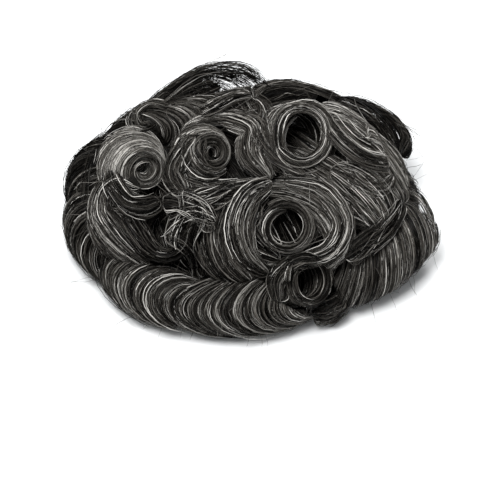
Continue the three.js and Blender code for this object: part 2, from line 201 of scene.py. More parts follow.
# Locks that lie along the dome. body: how far along the lock its dark body reaches. fan: how
# strongly the strands' ends fall away. sides: 3 for strands that are tubes and not flat ribbons.
SWEEPS = [
    dict(
        name="wave_right_shoulder", thick=1,
        path=[
            [0.48, 0.54, 0.92], [0.65, 0.37, 0.92], [0.82, 0.11, 0.82], [0.91, -0.15, 0.68],
            [0.95, -0.3, 0.52],
        ],
        width=[1.8, 2.8, 2.9, 2.4, 1.3], strands=620, lean=-2.2, grey_and_glint=0.2, light=0.2,
    ),
    dict(
        name="fold_right_shoulder", thick=0.4,
        path=[
            [0.66, 0.64, 0.9], [0.86, 0.61, 0.78], [0.99, 0.5, 0.7], [1.04, 0.36, 0.63],
            [1, 0.22, 0.62],
        ],
        width=[1.2, 1.4, 1.2, 0.9, 0.6], strands=260, grey_and_glint=0.05, light=-0.2,
    ),
    dict(
        name="wave_back_top", thick=1.5,
        path=[[0, 0.52, 0.96], [0.2, 0.64, 0.94], [0.44, 0.62, 0.88], [0.64, 0.52, 0.82]],
        width=[1.3, 1.8, 1.8, 1.2], strands=320, grey_and_glint=0.08, light=-0.1,
    ),
    dict(
        name="tuft_back", thick=0.8,
        path=[
            [-0.76, 0.42, 0.8], [-0.55, 0.6, 0.98], [-0.3, 0.74, 1.13], [0, 0.8, 1.16],
            [0.17, 0.74, 1.04],
        ],
        width=[1.0, 1.4, 1.4, 1.1, 0.5], strands=270,
        grey_and_glint=0.1, light=-0.05, body=0.5, fan=80, neat=0.5, sides=3,
    ),
    dict(
        name="wave_crown", thick=0.6,
        path=[
            [-0.45, 0.12, 1.05], [-0.17, 0.2, 1.11], [0.03, 0.03, 1.13], [0.01, -0.22, 1.09],
            [0.13, -0.42, 1.02],
        ],
        width=[0.7, 1.4, 1.5, 1.3, 0.7], strands=420, grey_and_glint=0.2, light=0.08,
    ),
    dict(
        name="wave_center", thick=0.5,
        path=[
            [-0.56, -0.18, 0.9], [-0.45, -0.42, 0.92], [-0.25, -0.54, 0.94], [0.02, -0.48, 0.97],
            [0.18, -0.34, 0.98],
        ],
        width=[0.7, 1.3, 1.3, 1.0, 0.5], strands=380, grey_and_glint=0.2, light=-0.1,
    ),
    dict(
        name="wave_front_center", thick=0.5,
        path=[
            [0, -0.5, 0.97], [0.26, -0.5, 0.98], [0.5, -0.64, 0.87], [0.56, -0.84, 0.7],
            [0.46, -1.0, 0.56],
        ],
        width=[0.7, 1.2, 1.4, 1.2, 0.6], strands=420, grey_and_glint=0.2, light=0.08,
    ),
    dict(
        name="wave_front", thick=0.6,
        path=[
            [-0.1, -0.5, 0.93], [-0.14, -0.66, 0.87], [-0.17, -0.8, 0.77], [-0.14, -0.96, 0.62],
            [0, -1.06, 0.46],
        ],
        width=[1.2, 2.2, 2.4, 2, 1], strands=460, grey_and_glint=0.2, light=-0.07,
    ),
    dict(
        name="wave_right", thick=0.6,
        path=[[0.17, -0.14, 1.05], [0.4, -0.3, 0.97], [0.66, -0.46, 0.81], [0.88, -0.58, 0.6]],
        width=[1.2, 2.2, 2.2, 1], strands=460, grey_and_glint=0.2, light=0.02, body=0.75,
    ),
    dict(
        name="hook_left", thick=0.5,
        path=[
            [-0.7, -0.44, 0.94], [-0.82, -0.36, 0.96], [-0.93, -0.38, 0.84], [-0.96, -0.52, 0.72],
            [-0.89, -0.68, 0.66], [-0.77, -0.82, 0.58], [-0.61, -0.94, 0.5],
        ],
        width=[0.6, 0.9, 1.1, 1.5, 1.9, 1.7, 1], strands=460, grey_and_glint=0.2, light=0.04,
    ),
    dict(
        name="wave_back_left", thick=0.6,
        path=[[-0.3, 0.5, 0.88], [-0.46, 0.7, 0.72], [-0.56, 0.86, 0.5], [-0.5, 0.98, 0.34]],
        width=[1.8, 3, 3.2, 2.4], strands=350, grey_and_glint=0.08, light=0,
    ),
    dict(
        name="wave_back_center", thick=0.6,
        path=[[0.14, 0.66, 0.8], [0, 0.86, 0.66], [-0.1, 1.0, 0.46], [-0.02, 1.06, 0.34]],
        width=[1.8, 3.2, 3.2, 2.4], strands=350, grey_and_glint=0.08, light=0,
    ),
    dict(
        name="wave_back_right", thick=0.6,
        path=[[0.66, 0.54, 0.7], [0.62, 0.7, 0.56], [0.56, 0.86, 0.4], [0.6, 0.88, 0.28]],
        width=[1.8, 3, 3, 2.4], strands=350, grey_and_glint=0.08, light=0,
    ),
]

LOCKS = CURLS + RIM_ROLLS + SWEEPS

# Open bunches of strands over and between the locks, laid out as the locks above, without a body.
BUNCHES = [
    dict(
        name="strands_front_left_top", thick=0.4,
        path=[[-0.55, -0.65, 0.94], [-0.44, -0.65, 1.0], [-0.32, -0.72, 0.97], [-0.23, -0.83, 0.85]],
        width=[0.9, 1.0, 1.0, 0.6], strands=44, grey_and_glint=0.5, light=-0.05,
    ),
    dict(
        name="strands_front_left_cross", thick=0.4,
        path=[[-0.57, -0.83, 0.77], [-0.47, -0.76, 0.88], [-0.35, -0.73, 0.94], [-0.22, -0.78, 0.9]],
        width=[0.9, 0.9, 0.8, 0.6], strands=34, grey_and_glint=0.5, light=-0.05,
    ),
    dict(
        name="strands_front_left_low", thick=0.3,
        path=[[-0.53, -0.83, 0.78], [-0.42, -0.91, 0.75], [-0.34, -0.81, 0.41], [-0.29, -0.88, 0.31]],
        width=[0.5, 0.6, 0.6, 0.5], strands=24, grey_and_glint=0.6, light=-0.05,
    ),
    dict(
        name="strands_front_left_fold", thick=0.5,
        path=[[-0.42, -0.51, 0.99], [-0.38, -0.7, 0.93], [-0.44, -0.84, 0.76], [-0.38, -0.82, 0.35]],
        width=[0.7, 1.2, 1.3, 0.8], strands=110, grey_and_glint=0.3, light=-0.16,
    ),
    dict(
        name="strands_left_of_swirl", thick=0.3,
        path=[
            [0.13, -0.48, 1.06], [-0.01, -0.58, 1.0], [-0.08, -0.81, 0.88], [-0.03, -0.98, 0.7],
            [0.11, -1.02, 0.51],
        ],
        width=[0.5, 1.0, 1.2, 1.0, 0.5], strands=260, grey_and_glint=0.3, light=0.05,
    ),
    dict(
        name="strands_low_curl", thick=0.3,
        path=[[0.45, -1.0, 0.65], [0.3, -1.06, 0.73], [0.18, -1.14, 0.61], [0.18, -1.24, 0.42]],
        width=[0.4, 0.7, 0.9, 0.6], strands=130, grey_and_glint=0.3, light=0.05,
    ),
    dict(
        name="strands_below_low_curl", thick=1.0,
        path=[[0.39, -1.15, 0.14], [0.49, -1.13, 0.16], [0.6, -1.05, 0.21]],
        width=[0.8, 1.3, 0.9], strands=240, grey_and_glint=0.1, light=0.05,
    ),
    dict(
        name="strands_crown_right", thick=0.3,
        path=[
            [-0.05, 0.4, 1.18], [0.04, 0.36, 1.1], [0.09, -0.04, 1.17], [0.17, -0.22, 1.1],
            [0.34, -0.38, 1.04],
        ],
        width=[0.6, 1.1, 1.2, 0.9, 0.5], strands=260, grey_and_glint=0.3, light=0.05,
    ),
    dict(
        name="strands_tuft_root", thick=0.8,
        path=[[-0.61, 0.56, 0.94], [-0.49, 0.56, 1.01], [-0.35, 0.61, 1.02], [-0.21, 0.68, 1.02]],
        width=[0.9, 1.6, 1.6, 1.0], strands=240, grey_and_glint=0.1, light=-0.15,
    ),
    dict(
        name="strands_tuft_arcs", thick=0.4, neat=0.3,
        path=[[-0.24, 0.66, 1.17], [-0.13, 0.71, 1.2], [-0.01, 0.7, 1.17], [0.08, 0.69, 1.03]],
        width=[1.1, 1.2, 1.3, 1.6], strands=36, grey_and_glint=0, light=-0.1, sides=3,
    ),
    dict(
        name="strands_right_end", thick=0.3, neat=0.5,
        path=[[1, -0.17, 0.65], [1.1, -0.21, 0.56], [1.16, -0.29, 0.47], [1.19, -0.39, 0.36]],
        width=[0.3, 0.5, 0.5, 0.4], strands=60, grey_and_glint=0.5, light=0.1,
    ),
    dict(
        name="strands_between_nests", thick=0.3,
        path=[[-0.41, -0.52, 0.97], [-0.48, -0.34, 1.01], [-0.42, -0.24, 1.17], [-0.35, -0.17, 1.26]],
        width=[0.6, 1.0, 1.0, 0.6], strands=140, grey_and_glint=0.4, light=0.05,
    ),
    dict(
        name="strands_under_center", thick=0.3,
        path=[[-0.1, -0.51, 1.04], [-0.23, -0.6, 0.99], [-0.35, -0.62, 0.92], [-0.41, -0.75, 0.84]],
        width=[0.6, 1.1, 1.1, 0.7], strands=160, grey_and_glint=0.3, light=-0.05,
    ),
    dict(
        name="strands_right", thick=0.3,
        path=[[0.5, -0.31, 1.01], [0.64, -0.39, 0.93], [0.77, -0.49, 0.82], [0.85, -0.59, 0.7]],
        width=[0.9, 1.7, 1.8, 1.2], strands=260, grey_and_glint=0.35, light=0.05,
    ),
    dict(
        name="strands_right_fold", thick=0.7,
        path=[
            [0.56, 0.6, 0.96], [0.77, 0.46, 0.93], [0.88, 0.34, 0.85], [0.94, 0.23, 0.77],
            [0.95, 0.12, 0.71],
        ],
        width=[1, 1.4, 1.3, 0.9, 0.5], strands=300, grey_and_glint=0.05, light=-0.25,
    ),
    dict(
        name="strands_back_left_loop", thick=0.3,
        path=[
            [-0.54, 0.31, 1.14], [-0.66, 0.36, 1.12], [-0.76, 0.24, 1.1], [-0.72, 0.12, 1.08],
            [-0.61, 0.15, 1.1],
        ],
        width=[0.6, 0.7, 0.7, 0.7, 0.6], strands=60, grey_and_glint=0.5, light=0,
    ),
    dict(
        name="strands_swirl_right", thick=0.3,
        path=[
            [0.2, -0.48, 1.06], [0.44, -0.53, 1.0], [0.58, -0.76, 0.85], [0.49, -0.94, 0.71],
            [0.29, -1, 0.66],
        ],
        width=[0.5, 1, 1, 0.9, 0.5], strands=210, grey_and_glint=0.4, light=0.08,
    ),
    dict(
        name="strands_swirl_left", thick=0.3,
        path=[
            [0.12, -0.53, 1.04], [-0.01, -0.62, 0.96], [-0.06, -0.81, 0.85], [0.02, -0.9, 0.7],
            [0.18, -0.96, 0.62],
        ],
        width=[0.5, 1.2, 1.3, 1.1, 0.5], strands=150, grey_and_glint=0.3, light=-0.05,
    ),
    dict(
        name="strands_left_nest_low", thick=0.3, neat=0.5,
        path=[
            [-0.57, -0.61, 0.97], [-0.65, -0.66, 0.95], [-0.75, -0.64, 0.95], [-0.82, -0.54, 0.97],
            [-0.88, -0.38, 0.97], [-0.89, -0.2, 0.95],
        ],
        width=[0.7, 0.9, 0.8, 0.8, 0.8, 0.5], strands=130, grey_and_glint=0.2, light=-0.05,
    ),
    dict(
        name="strands_left_fill", thick=0.5,
        path=[
            [-0.72, -0.44, 0.74], [-0.79, -0.52, 0.78], [-0.79, -0.65, 0.78], [-0.73, -0.76, 0.73],
            [-0.66, -0.85, 0.65], [-0.58, -0.89, 0.58],
        ],
        width=[0.5, 1.1, 1.3, 1.2, 1, 0.6], strands=150, grey_and_glint=0.15, light=-0.1,
    ),
    dict(
        name="strands_right_edge", thick=0.4, neat=2,
        path=[
            [0.6, -0.93, 0.6], [0.74, -0.79, 0.65], [0.83, -0.69, 0.65], [0.92, -0.52, 0.66],
            [0.98, -0.32, 0.65],
        ],
        width=[0.9, 1, 1, 0.9, 0.7], strands=170, grey_and_glint=0.2, light=-0.1,
    ),
    dict(
        name="strands_crown_streaks", thick=0.3,
        path=[[-0.33, 0.22, 1.15], [-0.23, 0.29, 1.18], [-0.12, 0.37, 1.2], [0, 0.42, 1.18]],
        width=[0.9, 1.2, 1, 0.7], strands=150, grey_and_glint=0.3, light=0,
    ),
    dict(
        name="strands_crown_ring", thick=0.3,
        path=[
            [0.22, -0.27, 1.04], [0.16, -0.19, 1.17], [0.16, -0.07, 1.29], [0.22, 0.06, 1.35],
            [0.34, 0.13, 1.31], [0.45, 0.12, 1.21], [0.49, 0.01, 1.1], [0.46, -0.16, 1.06],
            [0.34, -0.3, 1.07], [0.23, -0.28, 1.1], [0.16, -0.18, 1.18],
        ],
        width=[0.4, 0.5, 0.5, 0.5, 0.5, 0.5, 0.5, 0.5, 0.5, 0.5, 0.4], strands=130,
        grey_and_glint=0.45, light=0.05,
    ),
    dict(
        name="strands_shoulder_cross", thick=0.3,
        path=[[0.53, 0.25, 1.09], [0.63, 0.05, 1.06], [0.74, -0.04, 1.0], [0.87, 0.01, 0.9]],
        width=[2, 2.4, 2.6, 2.2], strands=200, grey_and_glint=0.4, light=0.1,
    ),
    dict(
        name="strands_shoulder_low", thick=0.3,
        path=[
            [0.61, -0.1, 0.96], [0.66, -0.33, 0.93], [0.78, -0.38, 0.85], [0.87, -0.3, 0.8],
            [0.92, -0.19, 0.82],
        ],
        width=[0.8, 1, 0.9, 0.7, 0.4], strands=120, grey_and_glint=0.4, light=0.02,
    ),
    dict(
        name="strands_nest_center", thick=0.3,
        path=[[-0.32, -0.14, 1.26], [-0.36, -0.3, 1.23], [-0.3, -0.4, 1.14], [-0.2, -0.37, 1.04]],
        width=[0.8, 1, 0.9, 0.5], strands=80, grey_and_glint=0.4, light=0.05,
    ),
    dict(
        name="strands_left_gap", thick=0.3,
        path=[[-1.05, 0.36, 0.55], [-1.1, 0.11, 0.53], [-1.11, -0.12, 0.48], [-1.1, -0.34, 0.42]],
        width=[0.6, 1.0, 1.0, 0.7], strands=70, grey_and_glint=0.05, light=-0.2,
    ),
]

# The way the hair on the dome is combed: place and direction, in shares of the dome's half sizes.
COMBED = [
    ((-0.7, -0.55), (0.5, -1.0)),
    ((-0.2, -0.6), (0.3, -1.0)),
    ((0.5, -0.3), (1.0, -0.7)),
    ((0.75, -0.5), (1.0, -1.0)),
    ((0.0, 0.1), (0.6, -0.5)),
    ((-0.5, 0.0), (0.3, -1.0)),
    ((0.6, 0.2), (0.6, -1.0)),
    ((-0.4, 0.6), (-0.5, 1.0)),
    ((0.4, 0.7), (0.2, 1.0)),
    ((-0.9, 0.2), (-1.0, 0.3)),
    ((0.9, 0.2), (1.0, 0.1)),
]


def unit(v):
    return v / np.maximum(np.linalg.norm(v, axis=-1, keepdims=True), 1e-9)


def mix(a, b, h):
    return a + (b - a) * h


def dome_z(x, y, half=HALF):
    """Height of a dome over a point, and 0 outside it."""
    reach = np.clip((x / half[0]) ** 2 + (y / half[1]) ** 2, 0, 1)
    return half[2] * (np.sqrt(1 - DOME_CUT**2 * reach) - LOW) / (1 - LOW)


def scroll_frame(lock, s):
    """The axis at s from -1 to 1: point, direction, up, side and radius, as part.mjs has them."""
    h = (s + 1) / 2
    if "span" in lock:
        angle = np.radians(mix(*lock["span"], h))
        outward = mix(*lock["outward"], h) * ROD
        x, y = HALF[0] + outward, HALF[1] + outward
        point = np.stack([x * np.cos(angle), y * np.sin(angle), mix(*lock["height"], h) * ROD], -1)
        along = unit(np.stack([-x * np.sin(angle), y * np.cos(angle), 0 * h], -1))
        end = np.where(h < 0.5, lock["radii"][0], lock["radii"][2])
        radius = mix(end, lock["radii"][1], np.sin(np.pi * np.clip(h, 0, 1))) * ROD
    else:
        foot, mouth = np.array(lock["foot"]) * HALF, np.array(lock["mouth"]) * HALF
        point = foot + (mouth - foot) * h[..., None]
        along = np.broadcast_to(unit(mouth - foot), point.shape)
        radius = mix(*lock["radii"], h) * ROD
    up = unit(np.array([0, 0, 1.0]) - along * along[..., 2:])
    return point, along, up, np.cross(along, up), radius


def taper(t):
    return np.minimum(1, 0.35 + 0.65 * np.minimum(t, 1 - t).clip(0) / 0.1)


def on_scroll(lock, s, t, raised):
    """A point of the scroll; raised is 1 on its outer face and -1 on its inner one, and lift adds mm."""
    n, lift = raised
    point, along, up, side, radius = scroll_frame(lock, s)
    turns = abs(lock["turn"]) / 360
    angle = np.radians(lock["start"] + lock["turn"] * t)
    distance = radius * (1 - (lock["sheet"] + SEAM) * turns * t + n * taper(t) * lock["sheet"] / 2) + lift
    sunk = lock.get("sink", 0) * radius * t
    return (
        point
        + up * (np.cos(angle) * distance)[..., None]
        + side * (np.sin(angle) * distance)[..., None]
        - along * sunk[..., None]
    )


def spline(points, t):
    """A centripetal Catmull-Rom curve through the points, at t from 0 to 1."""
    points = np.asarray(points, float)
    last = len(points) - 1
    place = np.clip(t, 0, 1) * last
    i = np.minimum(place.astype(int), last - 1)
    w = (place - i)[..., None]
    padded = np.vstack([2 * points[0] - points[1], points, 2 * points[-1] - points[-2]])
    p0, p1, p2, p3 = (padded[i + k] for k in range(4))
    spans = ((p0, p1), (p1, p2), (p2, p3))
    d0, d1, d2 = (np.sqrt(np.linalg.norm(b - a, axis=-1, keepdims=True)) for a, b in spans)
    m1 = ((p1 - p0) / d0 - (p2 - p0) / (d0 + d1) + (p2 - p1) / d1) * d1
    m2 = ((p2 - p1) / d1 - (p3 - p1) / (d1 + d2) + (p3 - p2) / d2) * d1
    return p1 + m1 * w + (3 * (p2 - p1) - 2 * m1 - m2) * w**2 + (2 * (p1 - p2) + m1 + m2) * w**3


def sweep_frame(lock, t):
    """The path at t: point, direction, across, over, half width."""
    path = np.array(lock["path"]) * HALF
    along = unit(spline(path, np.clip(t + 1e-3, 0, 1)) - spline(path, np.clip(t - 1e-3, 0, 1)))
    beyond = t - np.clip(t, 0, 1)
    length = np.linalg.norm(np.diff(path, axis=0), axis=1).sum()
    point = spline(path, t) + along * (beyond * length)[..., None]
    outward = unit(point / HALF / HALF)
    across = unit(np.cross(along, outward))
    widths = np.interp(np.clip(t, 0, 1), np.linspace(0, 1, len(lock["width"])), lock["width"])
    return point, along, across, np.cross(across, along), widths * ROD / 2


def section_height(s):
    """Height of a swept lock's face; beyond its edges strands fall."""
    inside = 0.85 * np.clip((1 - np.abs(s)) / 0.45, 0, 1) ** 0.7
    return inside - 1.5 * np.clip(np.abs(s) - 1, 0, 1)


def on_sweep(lock, s, t, raised):
    n, lift = raised
    point, along, across, over, half = sweep_frame(lock, t)
    high = n * section_height(s) * lock["thick"] * taper(t) * ROD / 2 + lift
    ahead = sweep_frame(lock, np.clip(t, 0, 0.99) + 0.01)
    behind = sweep_frame(lock, np.clip(t, 0.01, 1) - 0.01)
    bend = (ahead[1] - behind[1]) / np.linalg.norm(ahead[0] - behind[0], axis=-1, keepdims=True)
    reach = s * half
    crowded = np.clip(reach * (bend * across).sum(-1) / 0.85, 0, None)
    reach = reach / (1 + crowded**4) ** 0.25
    return point + across * reach[..., None] + over * high[..., None]


def on_lock(lock, s, t, raised):
    return (on_sweep if "path" in lock else on_scroll)(lock, s, t, raised)


def in_room(lock, p):
    """Whether points lie in the room that a lock takes, hole and all."""
    if "path" in lock:
        samples = np.linspace(0, 1, 41)
        point, along, across, over, half = sweep_frame(lock, samples)
        nearest = np.argmin(((p[..., None, :] - point) ** 2).sum(-1), axis=-1)
        rel = p - point[nearest]
        s = (rel * across[nearest]).sum(-1) / half[nearest]
        n = (rel * over[nearest]).sum(-1) / (lock["thick"] * ROD / 2)
        reach = np.abs((rel * along[nearest]).sum(-1)) < 4
        return reach & (np.abs(s) < 1) & (np.abs(n) < section_height(s))
    if "span" in lock:
        out = np.mean(lock["outward"]) * ROD
        angle = np.degrees(np.arctan2(p[..., 1] / (HALF[1] + out), p[..., 0] / (HALF[0] + out)))
        first, last = lock["span"]
        h = ((angle - first + 20) % 360 - 20) / (last - first)
    else:
        foot, mouth = np.array(lock["foot"]) * HALF, np.array(lock["mouth"]) * HALF
        h = ((p - foot) @ (mouth - foot)) / ((mouth - foot) @ (mouth - foot))
    point, along, up, side, radius = scroll_frame(lock, np.clip(h, 0, 1) * 2 - 1)
    rel = p - point
    away = np.hypot((rel * up).sum(-1), (rel * side).sum(-1))
    return (h > -0.02) & (h < 1.02) & (away < radius * (1 + lock["sheet"] / 2) + GAP)


def free(p, earlier, sunk=STRAND_SINK):
    """Whether points are above the table, outside the dome and outside the rooms of earlier locks."""
    inside = (p[..., 0] / HALF[0]) ** 2 + (p[..., 1] / HALF[1]) ** 2 < 1
    ok = (p[..., 2] > 0.3) & ~(inside & (p[..., 2] < dome_z(p[..., 0], p[..., 1]) - sunk))
    for lock in earlier:
        ok &= ~in_room(lock, p)
    return ok


def longest_run(ok):
    """First and last index of the longest run of True in each row."""
    best = np.zeros((len(ok), 2), int)
    for row, line in enumerate(ok):
        edges = np.flatnonzero(np.diff(np.concatenate([[0], line.astype(int), [0]])))
        if len(edges):
            runs = edges.reshape(-1, 2)
            first, last = runs[np.argmax(runs[:, 1] - runs[:, 0])]
            best[row] = first, last - 1
    return best


def smooth_noise(n, m, waves=3):
    """n smooth random curves of m points, about -1 to 1."""
    x = np.linspace(0, 1, m)
    total = np.zeros((n, m))
    for k in range(1, waves + 1):
        total += rng.normal(size=(n, 1)) * np.sin(2 * np.pi * k * x / 1.5 + rng.uniform(0, 6.28, (n, 1))) / k
    return total * 0.5


def flow(lock, s, t0, t):
    """Where a strand that passes s at t0 runs, at t."""
    if "gather" in lock:
        return 1 - (1 - s) * np.exp(-lock["gather"] * (t - t0))
    lean, bow = lock.get("lean", 0), lock.get("bow", 0)
    rate = lock.get("peak", 1.8)
    peak = np.sin(np.pi * np.clip(t * rate, 0, 1.3)) - np.sin(np.pi * np.clip(t0 * rate, 0, 1.3))
    return s + lean * (t - t0) + bow * peak


def bands(place):
    """Smooth ups and downs over a place in mm, as between the fine locks that hair falls into."""
    waves = (np.sin(place * 2 * np.pi / length + rng.uniform(0, 6.28)) for length in BAND_LENGTHS)
    return sum(waves) / 2.2


def tones(lock, band, which, loose=False):
    """Brightness of each strand: every shade of dark, painted shade between the fine locks and painted light
    on them, and the grey strands, which are grey hairs and painted glints.
    """
    # The bands paint shade in the grooves between the fine locks and light on their tops, stronger on the
    # rim rolls.
    band_light_and_shade = 0.3 if "span" in lock else 0.21
    tone = rng.random(len(band)) * (0.8 if loose else 0.6) + 0.03 + band_light_and_shade * band + lock["light"]
    tone = np.minimum(tone, (0.75 if lock.get("open") else 0.9) + 0.3 * lock["light"])[which]
    tone += rng.normal(size=len(which)) * (0.05 if loose else 0.23)
    # Grey strands: grey hairs, and painted glints of the glossy hair.
    grey_and_glint = rng.random(len(which)) < lock["grey_and_glint"] * (0.5 if loose else 0.08)
    tone[grey_and_glint] = rng.uniform(*GREY_AND_GLINT_TONES, grey_and_glint.sum())
    return tone


def clump_places(lock, clumps):
    """Each clump's face (1 outer, -1 inner, 0 edge), the s and t of its middle, and its run in t."""
    swept, end = "path" in lock, lock.get("eye", 1)
    turn = 1 if swept else min(1, 360 / abs(lock["turn"]))
    face = np.ones(clumps)
    if not swept:
        kind = "rim" if "span" in lock else "nest" if end > 1 else "curl"
        face = rng.choice([1, -1, 0], clumps, p=FACE_SHARES[kind])
    last = np.where(face == 0, end, turn * (0.75 if "span" in lock else 1))
    t_mid = np.where(face == -1, rng.uniform(1 - turn, end, clumps), rng.uniform(0, last, clumps))
    spread = 1.12 if swept else 0.99
    s_mid = rng.uniform(-spread, spread, clumps)
    run = turn * rng.uniform(0.35, 0.85, clumps)
    if swept:
        first, final = swept_ends(lock, clumps)
        t_mid, run = (first + final) / 2, final - first
    return face, s_mid, t_mid, run


def swept_ends(lock, clumps):
    """The t at which each clump of a swept lock starts and ends."""
    first, final = rng.uniform(-0.15, 0.5, clumps), rng.uniform(0.5, 1.15, clumps)
    if "fan" in lock:
        return rng.uniform(-0.15, 0.25, clumps), 0.32 + 0.75 * rng.random(clumps) ** 2.8
    if lock.get("open"):
        first = rng.uniform(-0.15, 0.6, clumps)
        final = np.minimum(first + rng.uniform(0.4, 1, clumps), 1.15)
    elif lock.get("lean"):
        first = rng.uniform(-0.15, 0.75, clumps)
        final = np.minimum(first + rng.uniform(0.35, 0.7, clumps), 1.15)
    return first, final


def lock_strands(lock, earlier, count, loose):
    """Strands of a lock, combed or loose: lines (n, m, 3), radii (n, m) and tones (n)."""
    swept, steps = "path" in lock, STEPS
    clumps = count if loose else max(8, count // CLUMP)
    which = np.arange(count) if loose else rng.integers(0, clumps, count)
    face, s_mid, t_mid, run = clump_places(lock, clumps)
    x = np.linspace(0, 1, steps)
    t = (t_mid - run / 2)[which][:, None] + run[which][:, None] * x
    t = t + (rng.normal(size=count) * 0.04)[:, None]
    low, high = (-0.2, 1.2) if swept else (0, lock.get("eye", 1))
    offset = rng.uniform(-1, 1, count)
    half_mm = half_width(lock)
    wide = rng.uniform(0.08, 0.45, clumps)[which] / half_mm
    tip = 1 - 0.7 * np.clip((x - 0.75) / 0.25, 0, 1) ** 1.5
    astray = rng.normal(size=(count, 1)) * (3.2 if loose else 0.9) * (x - rng.random((count, 1)))
    wander = smooth_noise(clumps, steps)[which] * 0.9 + smooth_noise(count, steps) * 0.4
    stray = (wander + astray) * lock.get("neat", 1)
    s = flow(lock, s_mid[which][:, None], t_mid[which][:, None], t)
    s = s + (offset * wide)[:, None] * tip * (1 + 0.4 * smooth_noise(clumps, steps)[which])
    s = s + stray / half_mm
    edge = (face[which] == 0)[:, None]
    n = np.where(edge, rng.uniform(-1, 1, (count, 1)), face[which][:, None] * 0.93) + 0 * s
    ragged = 1 + 0.05 * smooth_noise(count, steps) - rng.exponential(0.08, (count, 1))
    s = np.where(edge, np.sign(s_mid[which])[:, None] * ragged, s)
    band = bands(flow_back(lock, s_mid, t_mid) * half_mm)
    ridge = (0.3 + 0.4 * band + rng.uniform(-0.3, 0.3, clumps))[which]
    lift = ridge[:, None] * tip + smooth_noise(count, steps) * (0.7 if loose else 0.22)
    lift = lift + rng.exponential(0.6 if loose else 0.12, count)[:, None]
    lift = np.where(edge, 0.3 * smooth_noise(count, steps), lift * np.where(n < 0, -1, 1))
    if lock.get("open"):
        n = rng.uniform(-1, 1, clumps)[which][:, None] + 0.4 * smooth_noise(clumps, steps)[which]
    if swept:
        lift = lift - 40 * np.clip(np.abs(t - 0.5) - 0.5, 0, 1)
    lines = on_lock(lock, np.clip(s, -1.3, 1.3), t, (n, lift))
    fan = lock.get("fan", 0) * rng.uniform(0.7, 1.2, clumps)[which]
    lines = lines + FALL * (fan[:, None] * np.clip(x - 0.4, 0, 1) ** 2)[..., None]
    for _ in range(SMOOTHING if swept else 0):
        lines[:, 1:-1] = (lines[:, :-2] + 2 * lines[:, 1:-1] + lines[:, 2:]) / 4
    reach = 1.25 if swept else 1.04
    ok = free(lines, earlier) & (t >= low) & (t <= high) & (np.abs(s) <= reach)
    # Strands on a scroll's edges are made darker: painted shade at the ends of the curls.
    tone = tones(lock, band, which, loose) * np.where(edge[:, 0], 0.85, 1)
    return trim(lines, ok, tone)


def flyaways(count, points):
    """Single hairs that stand off the locks."""
    lines = []
    x = np.linspace(0, 1, points)
    n = count // len(LOCKS)
    for lock in LOCKS:
        s, t = rng.uniform(-1, 1, (n, 1)), rng.uniform(0.05, 0.6, (n, 1))
        spot = [on_lock(lock, s, t + d, (1 + 0 * s, 0 * s)) for d in (0, 0.01)]
        inner = on_lock(lock, s, t, (0 * s, 0 * s))
        along = unit(spot[1] - spot[0]) * rng.choice([-1, 1], (n, 1, 1))
        outward = unit(spot[0] - inner)
        reach = rng.uniform(12, 38, (n, 1, 1)) * x[:, None]
        rise = rng.uniform(-0.5, 1, (n, 1, 1)) * reach**2 / 90
        side = np.cross(along, outward) * smooth_noise(n, points)[..., None] * 2.5
        line = spot[0] + along * reach + outward * rise + side * x[:, None]
        lines.append(line)
    lines = np.concatenate(lines)
    limit = np.array(cad_box) / MM - CENTER
    inside = ((lines > limit[0] - 5) & (lines < limit[1] + 5)).all(-1)
    tone = rng.uniform(0.2, 0.95, len(lines))
    return trim(lines, inside & free(lines, []), tone, 0.7)


def half_width(lock):
    probe = on_lock(lock, np.array([-1.0, 1.0]), np.array([0.4, 0.4]), (np.zeros(2), np.zeros(2)))
    return np.linalg.norm(probe[1] - probe[0]) / 2


def trim(lines, ok, tone, thick=1):
    """Each line's longest free run, in groups by the number of points that its bends need."""
    ends = longest_run(ok)
    keep = ends[:, 1] - ends[:, 0] >= 5
    lines, ends, tone = lines[keep], ends[keep], tone[keep]
    way = unit(np.diff(lines, axis=1))
    bends = np.zeros(lines.shape[:2])
    bends[:, 1:-1] = np.arccos(np.clip((way[:, 1:] * way[:, :-1]).sum(-1), -1, 1))
    bends = (bends[:, 1:] + bends[:, :-1]) / 2
    step = np.arange(bends.shape[1])
    inside = (step >= ends[:, :1]) & (step < ends[:, 1:])
    wanted = np.clip(np.ceil((bends * inside).sum(1) / BEND) + 2, POINTS[0], POINTS[-1])
    course = np.concatenate([np.zeros((len(lines), 1)), ((bends + 0.03) * inside).cumsum(1)], 1)
    groups = []
    for points in POINTS:
        chosen = wanted <= points
        wanted[chosen] = POINTS[-1] + 1
        if chosen.any():
            parts = (part[chosen] for part in (lines, ends, course, tone))
            groups.append(sampled(*parts, points, thick))
    return groups


def sampled(lines, ends, course, tone, points, thick):
    """Lines (n, points, 3) with most points where they bend, their half widths and their tones."""
    goals = course[:, -1:] * np.linspace(0, 1, points)
    steps = np.arange(lines.shape[1])
    place = np.stack([np.interp(goal, way, steps) for goal, way in zip(goals, course)])
    place = np.clip(place, ends[:, :1], ends[:, 1:])
    i = np.minimum(place.astype(int), lines.shape[1] - 2)
    w = (place - i)[..., None]
    rows = np.arange(len(lines))[:, None]
    lines = lines[rows, i] * (1 - w) + lines[rows, i + 1] * w
    x = np.linspace(0, 1, points)
    thin = np.minimum(1, 0.3 + np.minimum(x, 1 - x) / 0.12)
    wide = np.where(tone > BRIGHT, 1.35, 1) * rng.uniform(0.75, 1.25, len(lines))
    # Each strand turns lighter and darker along its length: painted sheen that comes and goes along it.
    tone = tone[:, None] * (0.9 + 0.2 * smooth_noise(len(lines), points))
    return lines, STRAND * thick * wide[:, None] * thin, tone


